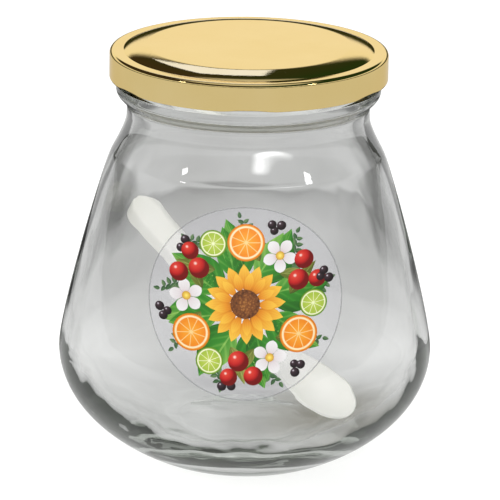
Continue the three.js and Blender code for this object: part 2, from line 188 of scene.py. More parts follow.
mirrored = choose(tree, overhead, walls, above)
seen = choose(tree, path["Is Transmission Ray"], mirrored, through)
seen = choose(tree, path["Is Camera Ray"], seen, white)
add_node(tree, "ShaderNodeOutputWorld", Surface=seen.outputs[0])
bpy.context.scene.view_settings.view_transform = "Standard"
print("room with", len(WALL_STOPS), "tones for mirrors and", len(GLASS_STOPS), "for glass")

# %% [markdown]
# Two kinds of lamp stand round the jar. Wide fills light the spoon, the print and the floor at a plain
# level and are hidden from mirrors and glass. The others are there only to be mirrored: a cool window
# behind the jar, which the lid shows, and two small panes in front. Clear glass mirrors only a twentieth
# of what it faces, so a pane has to be bright to show as a white spot on it.

# %% Lamps
WINDOW_COLOUR = (0.50, 0.58, 1.00)
LAMPS = {  # place, width, height, how bright the face is, its colour, and whether it lights or is mirrored
    "fill_over": ((-0.23, 0.48, 1.34), 0.52, 1.60, 4.4, grey(1.0), "lights"),
    "fill_front": ((0.0, -2.2, 1.6), 2.2, 1.6, 5.6, grey(1.0), "lights"),
    "fill_back": ((0.0, 2.2, 1.6), 2.2, 1.6, 1.4, grey(1.0), "lights"),
    "window_back": ((-0.080, 1.33, 1.0), 0.25, 0.50, 1.95, WINDOW_COLOUR, "mirrored"),
    "pane_left": ((-1.18, -0.71, 0.89), 0.13, 0.06, 16.0, grey(1.0), "mirrored"),
    "pane_right": ((1.12, -0.73, 0.93), 0.16, 0.08, 16.0, grey(1.0), "mirrored"),
}

for name, (place, width, tall, brightness, colour, use) in LAMPS.items():
    turned = (JAR_MIDDLE - Vector(place)).to_track_quat("-Z", "Y")
    bpy.ops.object.light_add(type="AREA", location=place, rotation=turned.to_euler())
    lamp = bpy.context.object
    lamp.name = name
    lamp.data.shape = "RECTANGLE"
    lamp.data.size = width
    lamp.data.size_y = tall
    lamp.data.energy = brightness * math.pi * width * tall
    lamp.data.color = colour
    lamp.visible_diffuse = use == "lights"
    lamp.visible_glossy = use == "mirrored"
    lamp.visible_transmission = False
    print(name, "shines with", round(lamp.data.energy, 2), "W")

# %% [markdown]
# The floor is a wide pale sheet. Part of its white is its own diffuse colour under the lamps, which keeps
# the jar's shadow, and part is a glow that only the camera sees, so that the background comes out white
# without more light on the jar. Through the glass the floor glows in rings of its own, darker and
# lighter, because clear glass shows only what lies round it: a plain white table would make it vanish.
# Two dark wedges behind the jar draw its edges, a bright spot shines in its shoulder, and a brown shade
# lies under it to the right. A little noise makes the rings uneven.

# %% Floor
FLOOR_SIZE = 8.0
FLOOR_TONE = 0.50
FLOOR_GLOW = 0.60
FLOOR_MIRRORED = 0.70
FLOOR_MIRRORED_BEHIND = 0.08  # behind the jar and near it, which is what the glass mirrors at its edges
MIRRORED_FRONT = [(0.50, grey(FLOOR_MIRRORED)), (0.53, grey(FLOOR_MIRRORED_BEHIND))]
MIRRORED_FAR = [(0.64, grey(FLOOR_MIRRORED_BEHIND)), (0.68, grey(FLOOR_MIRRORED))]
MIRRORED_SIDES = [(0.60, grey(FLOOR_MIRRORED_BEHIND)), (0.90, grey(FLOOR_MIRRORED))]
FLOOR_REACH = 0.6
FLOOR_RINGS = [  # glow seen through the glass, by the distance from the jar as a share of the reach
    (0.00, grey(0.46)),
    (0.08, grey(0.50)),
    (0.16, grey(0.70)),
    (0.25, grey(0.62)),
    (0.34, grey(0.52)),
    (0.43, grey(0.44)),
    (0.48, grey(0.38)),
    (0.515, grey(0.28)),
    (0.535, grey(0.50)),
    (0.80, grey(0.46)),
]
FLOOR_NEAR_SIDES = [(0.25, grey(1.0)), (0.60, grey(1.2))]  # share of that glow, by sideways over backwards
FLOOR_FAR_SIDES = [(0.20, grey(1.0)), (0.28, grey(0.08)), (0.58, grey(0.08)), (0.66, grey(1.1))]
FLOOR_FAR = [(0.40, grey(0.0)), (0.50, grey(1.0))]  # how far out the far sides take over
BRIGHT_SPOT = (0.012, 0.349, 0.0)
BRIGHT_SIZE = (0.011, 0.012, 1.0)
BRIGHT_GLOW = 1.0
SHADE_SPOT = (0.030, 0.0, 0.0)
SHADE_SIZE = (0.046, 0.046, 1.0)
SHADE_COLOUR = (0.22, 0.19, 0.11)
STREAK_LEVEL, STREAK_CONTRAST, STREAK_SCALE = 0.70, 0.60, 11.0
LEAST_BACKWARD = 0.02
FLOOR_LIT_IN_GLASS = 0.15

bpy.ops.object.select_all(action="DESELECT")
bpy.ops.mesh.primitive_plane_add(size=FLOOR_SIZE, location=(0, 0, 0))
floor = bpy.context.object
floor.name = "floor"
paper = bpy.data.materials.new("floor_paper")
paper.use_nodes = True
tree = paper.node_tree
tree.nodes.clear()
path = add_node(tree, "ShaderNodeLightPath").outputs
through = path["Is Transmission Ray"]
mirror = calc(tree, "SUBTRACT", path["Is Glossy Ray"], through)  # a ray through glass counts as glossy too
spot = add_node(tree, "ShaderNodeTexCoord").outputs["Object"]
away = add_node(tree, "ShaderNodeVectorMath", Vector=spot)
away.operation = "LENGTH"
share = calc(tree, "DIVIDE", away.outputs["Value"], FLOOR_REACH)
rings = ramp(tree, share, FLOOR_RINGS)
streaks = add_node(tree, "ShaderNodeTexNoise", Vector=spot, Scale=STREAK_SCALE, Detail=2.0).outputs["Fac"]
streaks = calc(tree, "MULTIPLY_ADD", streaks, STREAK_CONTRAST, STREAK_LEVEL)
rings = calc(tree, "MULTIPLY", rings, streaks)
parts = add_node(tree, "ShaderNodeSeparateXYZ", Vector=spot).outputs
backward = calc(tree, "MAXIMUM", parts["Y"], LEAST_BACKWARD)
to_side = calc(tree, "DIVIDE", calc(tree, "ABSOLUTE", parts["X"]), backward)
near_sides = ramp(tree, to_side, FLOOR_NEAR_SIDES)
far_sides = calc(tree, "SUBTRACT", ramp(tree, to_side, FLOOR_FAR_SIDES), near_sides)
sides = calc(tree, "MULTIPLY_ADD", ramp(tree, share, FLOOR_FAR), far_sides, near_sides)


def off_patch(tree, spot, place, size):
    node = add_node(tree, "ShaderNodeMapping", Vector=spot, Location=place, Scale=size)
    node.vector_type = "TEXTURE"
    node = add_node(tree, "ShaderNodeVectorMath", Vector=node.outputs[0])
    node.operation = "LENGTH"
    return node.outputs["Value"]


off_bright = off_patch(tree, spot, BRIGHT_SPOT, BRIGHT_SIZE)
bright = ramp(tree, off_bright, [(0.0, grey(BRIGHT_GLOW)), (1.0, grey(0.0))], smooth=True)
rings = calc(tree, "MULTIPLY_ADD", rings, sides, bright)
off_shade = off_patch(tree, spot, SHADE_SPOT, SHADE_SIZE)
shade = ramp(tree, off_shade, [(0.0, SHADE_COLOUR), (1.0, grey(1.0))], smooth=True)
shown = calc(tree, "MULTIPLY", path["Is Camera Ray"], FLOOR_GLOW)
shown = calc(tree, "MULTIPLY_ADD", through, rings, shown)
mirrored = ramp(tree, calc(tree, "MULTIPLY_ADD", parts["Y"], 0.5, 0.5), MIRRORED_FRONT)
mirrored = calc(tree, "MAXIMUM", mirrored, ramp(tree, share, MIRRORED_FAR))
mirrored = calc(tree, "MAXIMUM", mirrored, ramp(tree, to_side, MIRRORED_SIDES))
shown = calc(tree, "MULTIPLY_ADD", mirror, mirrored, shown)
lit = calc(tree, "MULTIPLY_ADD", through, FLOOR_LIT_IN_GLASS - 1, calc(tree, "SUBTRACT", 1.0, mirror))
matt = add_node(tree, "ShaderNodeBsdfDiffuse", Color=calc(tree, "MULTIPLY", lit, FLOOR_TONE))
shade = blend(tree, through, grey(1.0), shade)
glow = add_node(tree, "ShaderNodeEmission", Color=shade, Strength=shown)
both = add_node(tree, "ShaderNodeAddShader")
tree.links.new(matt.outputs[0], both.inputs[0])
tree.links.new(glow.outputs[0], both.inputs[1])
add_node(tree, "ShaderNodeOutputMaterial", Surface=both.outputs[0])
floor.data.materials.append(paper)
print("floor", FLOOR_SIZE, "m wide")

# %% [markdown]
# The jar, the lid and the sealing ring are round, so each is drawn as an outline on one side of the axis
# and spun about it. A small plane is added and merged to one point, the point is extruded from corner to
# corner, and the spin operator sweeps the chain round. Smooth stretches of an outline are cubic curves
# with two handles, as in a drawing program.

# %% Helpers for outlines and for spinning them
SPIN_STEPS = 160
MERGE_DISTANCE = 1e-6


def bezier(start, start_handle, end_handle, end, steps):
    points = []
    for i in range(steps + 1):
        t = i / steps
        shares = ((1 - t) ** 3, 3 * t * (1 - t) ** 2, 3 * t * t * (1 - t), t**3)
        corners = zip(shares, (start, start_handle, end_handle, end))
        points.append(sum((Vector(corner) * share for share, corner in corners), Vector((0, 0))))
    return points


def arc(centre, radius, first, last, steps):
    angles = [math.radians(first + (last - first) * i / steps) for i in range(steps + 1)]
    return [Vector(centre) + Vector((math.cos(a), math.sin(a))) * radius for a in angles]


def straight(start, end, steps):
    return [Vector(start).lerp(Vector(end), i / steps) for i in range(steps + 1)]


def join_runs(*runs):
    points = []
    for run in runs:
        points += [p for p in run if not points or (p - points[-1]).length > 1e-4]
    return points


def spin_piece(name, outline, closed=False):
    bpy.ops.object.select_all(action="DESELECT")
    bpy.ops.mesh.primitive_plane_add(size=0.01)
    piece = bpy.context.object
    piece.name = name
    bpy.ops.object.mode_set(mode="EDIT")
    bpy.ops.mesh.merge(type="CENTER")
    here = Vector((0, 0))
    for i, point in enumerate(outline + outline[:1] if closed else outline):
        step = (point - here) * MM
        if i == 0:
            bpy.ops.transform.translate(value=(step.x, 0, step.y))
        else:
            bpy.ops.mesh.extrude_region_move(TRANSFORM_OT_translate={"value": (step.x, 0, step.y)})
        here = point
    bpy.ops.mesh.select_all(action="SELECT")
    bpy.ops.mesh.spin(steps=SPIN_STEPS, angle=math.tau, center=(0, 0, 0), axis=(0, 0, 1))
    bpy.ops.mesh.select_all(action="SELECT")
    bpy.ops.mesh.remove_doubles(threshold=MERGE_DISTANCE)
    bpy.ops.mesh.normals_make_consistent(inside=False)
    bpy.ops.object.mode_set(mode="OBJECT")
    return piece


def smooth(piece, angle=35):
    bpy.ops.object.select_all(action="DESELECT")
    piece.select_set(True)
    bpy.context.view_layer.objects.active = piece
    bpy.ops.object.shade_smooth_by_angle(angle=math.radians(angle))
    print(piece.name, "has", len(piece.data.polygons), "faces")


def ease(share):
    share = min(1, max(0, share))
    return share * share * (3 - 2 * share)


# %% [markdown]
# The glass is one blown piece. Its outside runs from the hollow under the base over a flat foot, round
# the heel to the belly, up a long leaning side to the shoulder, and through the neck to the bead under
# the lid. The sizes are in millimetres and are those of the solid in the frame.

# %% Outside of the glass
FOOT = Vector((26, 0))
FOOT_INSIDE = 22
PUSH_UP = 0.8
BELLY = Vector((57.2, 34.5))
SHOULDER = Vector((41.6, 96.3))
NECK = Vector((37.1, 107.6))
SHOULDER_LEAN = math.radians(28.3)
FLARE_HEIGHT = 110.4
BEAD_RADIUS = 40.5
BEAD_LOW = 116.6
BEAD_HIGH = 117.6
PUSH_UP_HANDLE = 0.6  # handles of the curves, as a share, a point, heights or lengths along the lean
FOOT_HANDLE = (30.99, 1.38)
BELLY_HANDLES = (12.77, 43.65)
SHOULDER_HANDLES = (5.69, 2.37)
NECK_HANDLE = 104.66
FLARE_HANDLES = (113.0, 113.38)

lean = Vector((-math.sin(SHOULDER_LEAN), math.cos(SHOULDER_LEAN)))
push_up_handle = (FOOT_INSIDE * PUSH_UP_HANDLE, PUSH_UP)
under = bezier((0, PUSH_UP), push_up_handle, push_up_handle, (FOOT_INSIDE, 0), 10)
heel = bezier(FOOT, FOOT_HANDLE, (BELLY.x, BELLY_HANDLES[0]), BELLY, 44)
body = bezier(BELLY, (BELLY.x, BELLY_HANDLES[1]), SHOULDER - lean * SHOULDER_HANDLES[0], SHOULDER, 56)
neck = bezier(SHOULDER, SHOULDER + lean * SHOULDER_HANDLES[1], (NECK.x, NECK_HANDLE), NECK, 18)
flare_handles = (NECK.x, FLARE_HANDLES[0]), (BEAD_RADIUS, FLARE_HANDLES[1])
flare = bezier((NECK.x, FLARE_HEIGHT), *flare_handles, (BEAD_RADIUS, BEAD_LOW), 16)
print("glass outside:", len(under + heel + body + neck + flare), "points so far")

# %% [markdown]
# Above the bead stands the finish, the upright ring that the lid screws onto. Its wall is drawn in many
# small steps, because the thread ridges are pushed out of it later. The rim is rounded, and the inside
# comes back down at the thickness of the wall. Low in the jar the inside leaves the outside: that is the
# thick heel and base that every heavy jar has, and that looks dark from the side.

# %% Finish, rim and inside of the glass
WALL = 3.0
FINISH_RADIUS = 39.2
FINISH_HEIGHT = 118.8
RIM_HEIGHT = 125.6
RIM_ROUND = 1.2
MOUTH_RADIUS = 34.1
FLOOR_HEIGHT = 8.0
FLAT_FLOOR = 24.0
INNER_HEEL_TOP = 40.0
INNER_HEEL_DOWN, INNER_HEEL_OUT = 0.6, 0.34
BEAD_ROUND, BEAD_DROP = 0.5, 0.1

rim_low = RIM_HEIGHT - RIM_ROUND
finish = straight((FINISH_RADIUS, FINISH_HEIGHT), (FINISH_RADIUS, rim_low), 28)
bead_top = arc((BEAD_RADIUS - BEAD_ROUND, BEAD_HIGH - BEAD_DROP), BEAD_ROUND, 0, 70, 5)
rim = arc((FINISH_RADIUS - RIM_ROUND, rim_low), RIM_ROUND, 0, 90, 7)
rim += arc((MOUTH_RADIUS + RIM_ROUND, rim_low), RIM_ROUND, 90, 180, 7)

side = join_runs(body, neck)
inside = []
for before, point, after in zip(side, side[1:], side[2:]):
    along = (after - before).normalized()
    inside.append(point + Vector((-along.y, along.x)) * WALL)
inside = [point for point in inside if point.y > INNER_HEEL_TOP]
lowest = inside[0]
along = (inside[1] - lowest).normalized()
drop = INNER_HEEL_DOWN * (lowest.y - FLOOR_HEIGHT)
floor_handle = (FLAT_FLOOR + INNER_HEEL_OUT * (lowest.x - FLAT_FLOOR), FLOOR_HEIGHT)
inner_heel = bezier((FLAT_FLOOR, FLOOR_HEIGHT), floor_handle, lowest - along * drop, lowest, 40)
inner_floor = straight((0, FLOOR_HEIGHT), (FLAT_FLOOR, FLOOR_HEIGHT), 8)
mouth = straight((MOUTH_RADIUS, NECK.y), (MOUTH_RADIUS, rim_low), 10)
inner_side = join_runs(inner_floor, inner_heel, inside, mouth)
outline = join_runs(under, straight((FOOT_INSIDE, 0), FOOT, 3), heel, body, neck)
outline = join_runs(outline, flare, bead_top, finish, rim, inner_side[::-1])
print("glass outline:", len(outline), "points")

# %% Spin the glass
glass = spin_piece("jar_glass", outline)
print("glass spun,", len(glass.data.vertices), "points")

# %% [markdown]
# Six short ridges on the finish hold the lid's six lugs. They could be separate bars joined by a Boolean,
# but a moulded ridge swells softly out of the glass, so the points of the finish are pushed outwards
# instead: full in the middle of a ridge, fading to nothing at its two ends and above and below it.

# %% Push the thread ridges out of the finish
LUG_COUNT = 6
LUG_FRONT = -90.0
RISE_PER_DEGREE = 18.6 / 360
RIDGE_HEIGHT = 122.1
RIDGE_DEPTH = 1.8
RIDGE_HALF, RIDGE_EDGE = 0.7, 0.25
ON_FINISH, NEAR = 0.05, 0.01
RIDGE_FROM, RIDGE_TO = -16.0, 28.0
RIDGE_RUN_IN = 9.0


def turn_from_lug(x, y):
    spacing = 360 / LUG_COUNT
    angle = math.degrees(math.atan2(y, x)) - LUG_FRONT
    return (angle - RIDGE_FROM) % spacing + RIDGE_FROM


def ridge_stand(x, y, height):
    turn = turn_from_lug(x, y)
    if turn > RIDGE_TO:
        return 0
    off = abs(height - RIDGE_HEIGHT - RISE_PER_DEGREE * turn)
    run_in = min(turn - RIDGE_FROM, RIDGE_TO - turn) / RIDGE_RUN_IN
    return RIDGE_DEPTH * ease((RIDGE_HALF - off) / RIDGE_EDGE) * ease(run_in)


moved = 0
for vertex in glass.data.vertices:
    x, y, z = vertex.co / MM
    radius = math.hypot(x, y)
    if abs(radius - FINISH_RADIUS) < ON_FINISH and FINISH_HEIGHT < z < rim_low + NEAR:
        stand = ridge_stand(x, y, z)
        vertex.co.x *= (radius + stand) / radius
        vertex.co.y *= (radius + stand) / radius
        moved += stand > 0
print("ridges:", moved, "points pushed out")

# %% [markdown]
# Inside, a blown jar is never quite even: the mould shapes the outside, and the inner face sets as it
# likes. That unevenness is what makes light swim in the heel and the walls. Each inner point is sunk a
# little into the glass by a noise field, more in the thick heel than in the wall, and never towards the
# hollow, where the spoon lies.

# %% Let the inner face wave
WALL_WAVE, HEEL_WAVE = 0.25, 0.32
WALL_WAVE_SIZE = Vector((13, 13, 30))
HEEL_WAVE_SIZE = Vector((8, 8, 8))
HEEL_FADE = (14.0, 34.0)
WAVE_TOP = NECK.y - 4
WAVE_FADE = 8


def wave(place, size):
    return 0.5 + 0.5 * field.noise(Vector((place.x / size.x, place.y / size.y, place.z / size.z)))


sunk = 0
for vertex in glass.data.vertices:
    place = vertex.co / MM
    inward = vertex.normal.x * place.x + vertex.normal.y * place.y < 0
    on_floor = vertex.normal.z > 0.5 and math.hypot(place.x, place.y) <= FLAT_FLOOR + NEAR
    if place.z < FLOOR_HEIGHT - NEAR or place.z > WAVE_TOP or not (inward or on_floor):
        continue
    up = ease((place.z - HEEL_FADE[0]) / (HEEL_FADE[1] - HEEL_FADE[0]))
    in_heel = HEEL_WAVE * (1 - up) * wave(place, HEEL_WAVE_SIZE)
    depth = in_heel + WALL_WAVE * up * wave(place, WALL_WAVE_SIZE)
    depth *= ease((WAVE_TOP - place.z) / WAVE_FADE)
    vertex.co -= vertex.normal * depth * MM
    sunk += 1
smooth(glass)
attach(glass, "jar")
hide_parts("glass_jar")
print("inner face:", sunk, "points sunk")

# %% [markdown]
# Clear glass in a thick piece isn't quite colourless: it takes a little of every colour that crosses it,
# a touch less green. A Volume Absorption node does that by depth, so thin walls stay clear while the
# edges and the base turn dark. The surface has the faint waviness of pressed glass. Rays from lamps pass
# straight through, so that the spoon inside is lit without noise. In the thick heel a ray is thrown back
# and forth many times before it finds a way out, so it is allowed more bounces than usual; else the heel
# would turn black.

# %% Clear glass
GLASS_TINT = (0.44, 0.50, 0.42)
GLASS_DENSITY = 20.0
GLASS_BOUNCES = 32
GLASS_IOR = 1.5
RIPPLE, RIPPLE_SCALE, RIPPLE_STRETCH = 0.30, 70, (1.0, 1.0, 0.5)

cycles = bpy.context.scene.cycles
cycles.max_bounces = GLASS_BOUNCES
cycles.transmission_bounces = GLASS_BOUNCES
cycles.glossy_bounces = GLASS_BOUNCES


def new_material(name):
    material = bpy.data.materials.new(name)
    material.use_nodes = True
    tree = material.node_tree
    tree.nodes.clear()
    shader = tree.nodes.new("ShaderNodeBsdfPrincipled")
    output = tree.nodes.new("ShaderNodeOutputMaterial")
    tree.links.new(shader.outputs[0], output.inputs["Surface"])
    return material, tree, shader, output


def object_place(tree, scale=(1, 1, 1)):
    spot = add_node(tree, "ShaderNodeTexCoord").outputs["Object"]
    return add_node(tree, "ShaderNodeMapping", Vector=spot, Scale=scale).outputs[0]


def noise(tree, scale, detail=2.0, stretch=(1, 1, 1)):
    place = object_place(tree, stretch)
    return add_node(tree, "ShaderNodeTexNoise", Vector=place, Scale=scale, Detail=detail).outputs["Fac"]


def bump(tree, shader, height, strength, distance):
    node = add_node(tree, "ShaderNodeBump", Height=height, Strength=strength, Distance=distance)
    tree.links.new(node.outputs[0], shader.inputs["Normal"])


def dress(piece, *materials):
    piece.data.materials.clear()
    for material in materials:
        piece.data.materials.append(material)


clear_glass, tree, shader, output = new_material("clear_glass")
set_input(tree, shader.inputs["Base Color"], grey(1.0))
shader.inputs["Roughness"].default_value = 0.0
shader.inputs["IOR"].default_value = GLASS_IOR
shader.inputs["Transmission Weight"].default_value = 1.0
bump(tree, shader, noise(tree, RIPPLE_SCALE, 1.0, RIPPLE_STRETCH), RIPPLE, MM)
path = add_node(tree, "ShaderNodeLightPath")
lamp_ray = calc(tree, "MAXIMUM", path.outputs["Is Shadow Ray"], path.outputs["Is Diffuse Ray"])
through = add_node(tree, "ShaderNodeBsdfTransparent", Color=grey(1.0))
tree.links.new(choose(tree, lamp_ray, shader, through).outputs[0], output.inputs["Surface"])
depth = add_node(tree, "ShaderNodeVolumeAbsorption", Color=GLASS_TINT, Density=GLASS_DENSITY)
tree.links.new(depth.outputs[0], output.inputs["Volume"])
dress(glass, clear_glass)
two_walls = math.exp(-2 * WALL * MM * GLASS_DENSITY * (1 - GLASS_TINT[1]))
print("two walls of glass let through", round(two_walls, 2))

# %% [markdown]
# The lid is one sheet of tinplate pressed in a die: a raised panel, a slope down to a channel, a narrow
# ring, a tight knee, the skirt and a rolled lower edge. It is spun like the glass, from an outline that
# follows the sheet's outside and then comes back along its inside.

# %% Outline of the lid
SHEET = 0.4
LID_RADIUS = 42.5
PANEL_HEIGHT = 129.75
PANEL_RADIUS = 30.7
CHANNEL_HEIGHT = 128.0
CHANNEL_RADIUS = 38.3
RING_HEIGHT = 128.06
KNEE_RADIUS = 1.2
LID_EDGE = 119.35
SLOPE_START = math.tan(math.radians(5))
CURL_RADIUS = 0.6
PANEL_ROUND = 0.5
SLOPE_HANDLES = (0.85, 0.05)
RING_HANDLE = 0.4

knee_centre = (LID_RADIUS - KNEE_RADIUS, RING_HEIGHT - KNEE_RADIUS)
curl_centre = (LID_RADIUS - CURL_RADIUS, LID_EDGE + CURL_RADIUS)
slope_span = CHANNEL_RADIUS - PANEL_RADIUS
start_reach = SLOPE_HANDLES[0] * slope_span
ring_span = knee_centre[0] - CHANNEL_RADIUS
panel = straight((0, PANEL_HEIGHT), (PANEL_RADIUS - PANEL_ROUND, PANEL_HEIGHT), 12)
panel_slope = bezier(
    (PANEL_RADIUS, PANEL_HEIGHT),
    (PANEL_RADIUS + start_reach, PANEL_HEIGHT - start_reach * SLOPE_START),
    (CHANNEL_RADIUS - SLOPE_HANDLES[1] * slope_span, CHANNEL_HEIGHT),
    (CHANNEL_RADIUS, CHANNEL_HEIGHT),
    22,
)
ring = bezier(
    (CHANNEL_RADIUS, CHANNEL_HEIGHT),
    (CHANNEL_RADIUS + RING_HANDLE * ring_span, CHANNEL_HEIGHT),
    (knee_centre[0] - RING_HANDLE * ring_span, RING_HEIGHT),
    (knee_centre[0], RING_HEIGHT),
    12,
)
top = join_runs(panel, panel_slope, ring)
knee = arc(knee_centre, KNEE_RADIUS, 90, 0, 12)
skirt = straight((LID_RADIUS, knee_centre[1]), (LID_RADIUS, curl_centre[1]), 14)
curl = arc(curl_centre, CURL_RADIUS, 0, -270, 22)
skirt_inside = LID_RADIUS - SHEET
inner_skirt = straight((skirt_inside, curl_centre[1] + CURL_RADIUS), (skirt_inside, knee_centre[1]), 12)
inner_knee = arc(knee_centre, KNEE_RADIUS - SHEET, 0, 90, 10)
under_top = [point - Vector((0, SHEET)) for point in top[::-1]]
lid_outline = join_runs(top, knee, skirt, curl, inner_skirt, inner_knee, under_top)
print("lid outline:", len(lid_outline), "points")

# %% [markdown]
# Six lugs are pressed in from the rolled edge. Each is a short flat tongue that reaches in under a ridge
# of the glass, and outside it leaves a shallow dent along the skirt's lower edge, which the front one
# shows. The roll's own points are moved for this, by how far they lie on the inner side of the roll.

# %% Spin the lid and press in its lugs
LUG_HALF_ARC = 10.0
LUG_RAMP = 2.5
LUG_REACH = 1.5
LUG_HEIGHT = 120.6
LUG_FLATTEN = 0.8
DENT_DEPTH = 0.35
DENT_LIFT = 0.38
DENT_TOP = 121.6
DENT_HALF_ARC = 7.0
DENT_RAMP = 9.0
DENT_FADE = 1.6
ROLL_MARGIN = 0.1

lid = spin_piece("lid_shell_gold", lid_outline)
for vertex in lid.data.vertices:
    x, y, z = vertex.co / MM
    radius = math.hypot(x, y)
    if z > DENT_TOP or radius < LID_RADIUS - 2 * CURL_RADIUS - ROLL_MARGIN:
        continue
    turn = turn_from_lug(x, y)
    press = ease((LUG_HALF_ARC + LUG_RAMP / 2 - abs(turn)) / LUG_RAMP)
    inner = press * ease((LID_RADIUS - SHEET - radius) / (2 * CURL_RADIUS - SHEET))
    raised = LUG_HEIGHT + RISE_PER_DEGREE * turn + (z - curl_centre[1]) * LUG_FLATTEN
    pressed = ease((DENT_HALF_ARC + DENT_RAMP / 2 - abs(turn)) / DENT_RAMP) * ease((DENT_TOP - z) / DENT_FADE)
    dent = pressed * DENT_DEPTH
    new_radius = radius - LUG_REACH * inner - dent * (1 - inner)
    vertex.co.x *= new_radius / radius
    vertex.co.y *= new_radius / radius
    lifted = z + DENT_LIFT * pressed * (1 - inner)
    vertex.co.z = (lifted + (raised - lifted) * inner) * MM
smooth(lid)
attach(lid, "lid")
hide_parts("lid_shell")
print("lid", round(max(v.co.z for v in lid.data.vertices) / MM, 2), "mm high")

# %% [markdown]
# The lid's finish is a clear gold lacquer baked on bright tinplate. The metal's colour does most of the
# work; under it the rolled sheet has a fine straight grain, and the lacquer varies a little in depth.
# Grain comes from noise that is stretched along one direction.

# %% Gold lacquer
GOLD_LIGHT = (0.895, 0.700, 0.320)
GOLD_DEEP = (0.870, 0.670, 0.285)
GOLD_GLANCE = (0.98, 0.88, 0.68)
GOLD_CLOUD, GOLD_GRAIN = (60, 2.0), (300, 3.0, (1.0, 14.0, 14.0))  # scale, detail and stretch of the noise
GOLD_ROUGHNESS, GRAIN_BUMP = (0.015, 0.04), (0.03, 0.0002)
ENAMEL_DEEP, ENAMEL_LIGHT = (0.80, 0.79, 0.75), (0.85, 0.84, 0.80)
ENAMEL_CLOUD, ENAMEL_ROUGHNESS = (80, 3.0), (0.25, 0.1)
FACING_DOWN, SKIRT_FOOT = -0.1, 3


def paint_cloud(tree, shader, cloud, low, high):
    tree.links.new(ramp(tree, cloud, [(0.3, low), (0.7, high)]), shader.inputs["Base Color"])


def roughen(tree, shader, factor, low, span):
    tree.links.new(calc(tree, "MULTIPLY_ADD", factor, span, low), shader.inputs["Roughness"])


gold_lacquer, tree, shader, output = new_material("gold_lacquer")
cloud = noise(tree, *GOLD_CLOUD)
grain = noise(tree, *GOLD_GRAIN)
paint_cloud(tree, shader, cloud, GOLD_DEEP, GOLD_LIGHT)
shader.inputs["Metallic"].default_value = 1.0
set_input(tree, shader.inputs["Specular Tint"], GOLD_GLANCE)
roughen(tree, shader, grain, *GOLD_ROUGHNESS)
bump(tree, shader, grain, *GRAIN_BUMP)

inner_enamel, tree, shader, output = new_material("inner_enamel")
cloud = noise(tree, *ENAMEL_CLOUD)
paint_cloud(tree, shader, cloud, ENAMEL_DEEP, ENAMEL_LIGHT)
roughen(tree, shader, cloud, *ENAMEL_ROUGHNESS)
dress(lid, gold_lacquer, inner_enamel)
enamelled = 0
for face in lid.data.polygons:
    x, y, z = face.center / MM
    outward = face.normal.x * x + face.normal.y * y
    above_roll = z > LID_EDGE + 2 * CURL_RADIUS + ROLL_MARGIN
    facing_in = face.normal.z < FACING_DOWN if z > LID_EDGE + SKIRT_FOOT else outward < 0
    in_skirt = outward < -0.5 * math.hypot(x, y) and z < CHANNEL_HEIGHT - 1
    if above_roll and (facing_in or in_skirt):
        face.material_index = 1
        enamelled += 1
print("lid in gold lacquer,", enamelled, "faces enamelled inside")

# %% [markdown]
# The sealing ring is a soft compound that is run into the lid's channel and cured. It is a flat ring with
# rounded edges, and the jar's rim has left a shallow groove in its underside. It is spun from a closed
# outline.

# %% Sealing ring
SEAL_INSIDE, SEAL_OUTSIDE = 34.9, 41.5
SEAL_LOW, SEAL_HIGH = 125.9, 127.30
SEAL_EDGE = 0.25
GROOVE_FROM, GROOVE_TO, GROOVE_DEPTH = 35.2, 39.0, 0.12
GROOVE_RAMP, GROOVE_STEPS = 0.5, 24
SEAL_DEEP, SEAL_LIGHT = (0.70, 0.68, 0.60), (0.78, 0.76, 0.69)
SEAL_SPECKLE, SEAL_ROUGHNESS, SEAL_BUMP = (900, 2.0), (0.45, 0.2), (0.1, 0.0001)

seal_runs = [
    arc((SEAL_OUTSIDE - SEAL_EDGE, SEAL_LOW + SEAL_EDGE), SEAL_EDGE, -90, 0, 5),
    arc((SEAL_OUTSIDE - SEAL_EDGE, SEAL_HIGH - SEAL_EDGE), SEAL_EDGE, 0, 90, 5),
    straight((SEAL_OUTSIDE - SEAL_EDGE, SEAL_HIGH), (SEAL_INSIDE + SEAL_EDGE, SEAL_HIGH), 6),
    arc((SEAL_INSIDE + SEAL_EDGE, SEAL_HIGH - SEAL_EDGE), SEAL_EDGE, 90, 180, 5),
    arc((SEAL_INSIDE + SEAL_EDGE, SEAL_LOW + SEAL_EDGE), SEAL_EDGE, 180, 270, 5),
]
for i in range(1, GROOVE_STEPS):
    radius = SEAL_INSIDE + SEAL_EDGE + (SEAL_OUTSIDE - SEAL_INSIDE - 2 * SEAL_EDGE) * i / GROOVE_STEPS
    depth = GROOVE_DEPTH * ease(min(radius - GROOVE_FROM, GROOVE_TO - radius) / GROOVE_RAMP)
    seal_runs.append([Vector((radius, SEAL_LOW + depth))])
seal = spin_piece("lid_seal_ring", join_runs(*seal_runs), closed=True)
smooth(seal)
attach(seal, "seal")
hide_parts("lid_seal")

seal_compound, tree, shader, output = new_material("seal_compound")
speckle = noise(tree, *SEAL_SPECKLE)
paint_cloud(tree, shader, speckle, SEAL_DEEP, SEAL_LIGHT)
roughen(tree, shader, speckle, *SEAL_ROUGHNESS)
bump(tree, shader, speckle, *SEAL_BUMP)
dress(seal, seal_compound)

# %% [markdown]
# The label is a round clear film stuck on the sloping front. It is made flat first, as a disc, and then
# laid on the glass: across the label a point keeps its sideways place, and up the label it follows the
# curve of the glass. The same helper lays the printed shapes on later. Each point also stores how near
# the rim it is, so that the material can paint the shade of the film's cut edge as a grey line.

# %% Helper that lays a flat sheet on the glass
LABEL_RISE = 28.8

label_side = join_runs(heel, body, neck)
label_run = [0.0]
for a, b in zip(label_side, label_side[1:]):
    label_run.append(label_run[-1] + (b - a).length)
label_middle = label_run[len(heel) - 1] + LABEL_RISE


